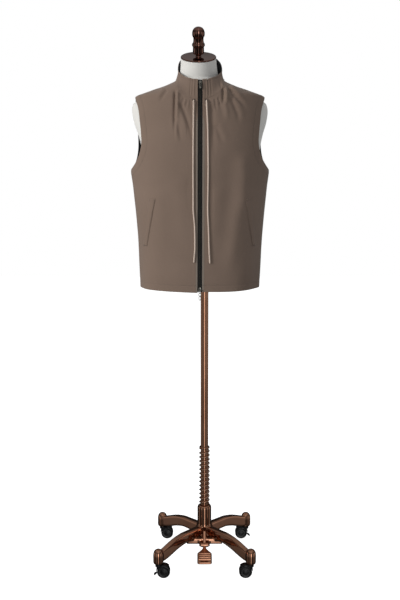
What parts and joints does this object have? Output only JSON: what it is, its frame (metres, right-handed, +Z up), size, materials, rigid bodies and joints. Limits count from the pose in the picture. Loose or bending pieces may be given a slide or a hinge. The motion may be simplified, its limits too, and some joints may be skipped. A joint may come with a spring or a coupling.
{
  "type": "gilet on a dress form stand",
  "caption": "Sleeveless funnel-neck zip gilet with drawcords and welt pockets, worn by a limbless dress form on a sprung pole and wheeled cast base.",
  "frame": {"origin": "on the floor, under the middle of the whole object", "axes": "+Z up the pole, -Y the garment's front, +X towards the wearer's left"},
  "size_m": [0.4166, 0.3128, 1.64],
  "materials": {
    "shell_cloth": "matt taupe woven cotton",
    "dark_lining": "matt near-black lining",
    "zip_tape": "dark woven tape",
    "zip_chain": "dark grey-green coil teeth",
    "zip_metal": "dark gunmetal",
    "cord": "pale pinkish beige braid",
    "form_jersey": "white jersey",
    "board": "bare pale wood",
    "copper_plate": "polished dark copper plating",
    "black_plastic": "glossy black",
    "wheel_plastic": "glossy black"
  },
  "bodies": {
    "base": {"base_casting": "copper_plate", "spring": "copper_plate"},
    "post": {"pole": "copper_plate", "spring_stop": "copper_plate"},
    "form": {"form_torso": "form_jersey", "form_board": "board", "pole_flange": "copper_plate", "neck_cap": "copper_plate", "finial": "copper_plate", "front_left": "shell_cloth", "front_right": "shell_cloth", "back": "shell_cloth", "back_lining": "dark_lining", "collar": "shell_cloth", "collar_lining": "dark_lining", "zip_tape_left": "zip_tape", "zip_tape_right": "zip_tape", "zip_chain": "zip_chain", "zip_slider_top": "zip_metal", "zip_slider_bottom": "zip_metal", "pocket_welt_left": "shell_cloth", "pocket_welt_right": "shell_cloth", "eyelet_left": "zip_metal", "eyelet_right": "zip_metal", "drawcord_left": "cord", "drawcord_right": "cord"},
    "pedal": {"pedal": "copper_plate"},
    "pull_top": {"zip_pull_top": "zip_metal"},
    "pull_bottom": {"zip_pull_bottom": "zip_metal"},
    "caster_1": {"fork_1": "black_plastic"},
    "caster_2": {"fork_2": "black_plastic"},
    "caster_3": {"fork_3": "black_plastic"},
    "caster_4": {"fork_4": "black_plastic"},
    "wheels_1": {"wheels_1": "wheel_plastic"},
    "wheels_2": {"wheels_2": "wheel_plastic"},
    "wheels_3": {"wheels_3": "wheel_plastic"},
    "wheels_4": {"wheels_4": "wheel_plastic"},
    "brake_1": {"brake_1": "black_plastic"},
    "brake_3": {"brake_3": "black_plastic"}
  },
  "joints": [
    {"name": "height_slide", "type": "slide", "parent": "base", "child": "post", "axis": [0, 0, 1], "range_m": [-0.09, 0], "deforming": ["spring"]},
    {"name": "torso_turn", "type": "hinge", "parent": "post", "child": "form", "pos_m": [0.014, 0, 0.892], "axis": [0, 0, 1], "continuous": true},
    {"name": "pedal_press", "type": "hinge", "parent": "base", "child": "pedal", "pos_m": [0.014, -0.062, 0.066], "axis": [1, 0, 0], "range_deg": [0, 12], "stiffness_Nm_per_rad": 3, "springref_deg": -5.73},
    {"name": "top_pull_lift", "type": "hinge", "parent": "form", "child": "pull_top", "pos_m": [0.00069, -0.09831, 1.47751], "axis": [-1, -0.007, 0], "range_deg": [0, 150]},
    {"name": "bottom_pull_lift", "type": "hinge", "parent": "form", "child": "pull_bottom", "pos_m": [-0.00042, -0.12532, 0.88443], "axis": [-1, 0.0034, 0], "range_deg": [0, 150]},
    {"name": "swivel_1", "type": "hinge", "parent": "base", "child": "caster_1", "pos_m": [-0.12707, -0.14107, 0.045], "axis": [0, 0, 1], "continuous": true},
    {"name": "swivel_2", "type": "hinge", "parent": "base", "child": "caster_2", "pos_m": [0.15507, -0.14107, 0.045], "axis": [0, 0, 1], "continuous": true},
    {"name": "swivel_3", "type": "hinge", "parent": "base", "child": "caster_3", "pos_m": [0.15507, 0.14107, 0.045], "axis": [0, 0, 1], "continuous": true},
    {"name": "swivel_4", "type": "hinge", "parent": "base", "child": "caster_4", "pos_m": [-0.12707, 0.14107, 0.045], "axis": [0, 0, 1], "continuous": true},
    {"name": "spin_1", "type": "hinge", "parent": "caster_1", "child": "wheels_1", "pos_m": [-0.11107, -0.14107, 0.01975], "axis": [0, 1, 0], "continuous": true},
    {"name": "spin_2", "type": "hinge", "parent": "caster_2", "child": "wheels_2", "pos_m": [0.13907, -0.14107, 0.01975], "axis": [0, 1, 0], "continuous": true},
    {"name": "spin_3", "type": "hinge", "parent": "caster_3", "child": "wheels_3", "pos_m": [0.13907, 0.14107, 0.01975], "axis": [0, 1, 0], "continuous": true},
    {"name": "spin_4", "type": "hinge", "parent": "caster_4", "child": "wheels_4", "pos_m": [-0.11107, 0.14107, 0.01975], "axis": [0, 1, 0], "continuous": true},
    {"name": "brake_lever_1", "type": "hinge", "parent": "caster_1", "child": "brake_1", "pos_m": [-0.12607, -0.14107, 0.01975], "axis": [0, 1, 0], "range_deg": [0, 25]},
    {"name": "brake_lever_3", "type": "hinge", "parent": "caster_3", "child": "brake_3", "pos_m": [0.15407, 0.14107, 0.01975], "axis": [0, -1, 0], "range_deg": [0, 25]}
  ]
}
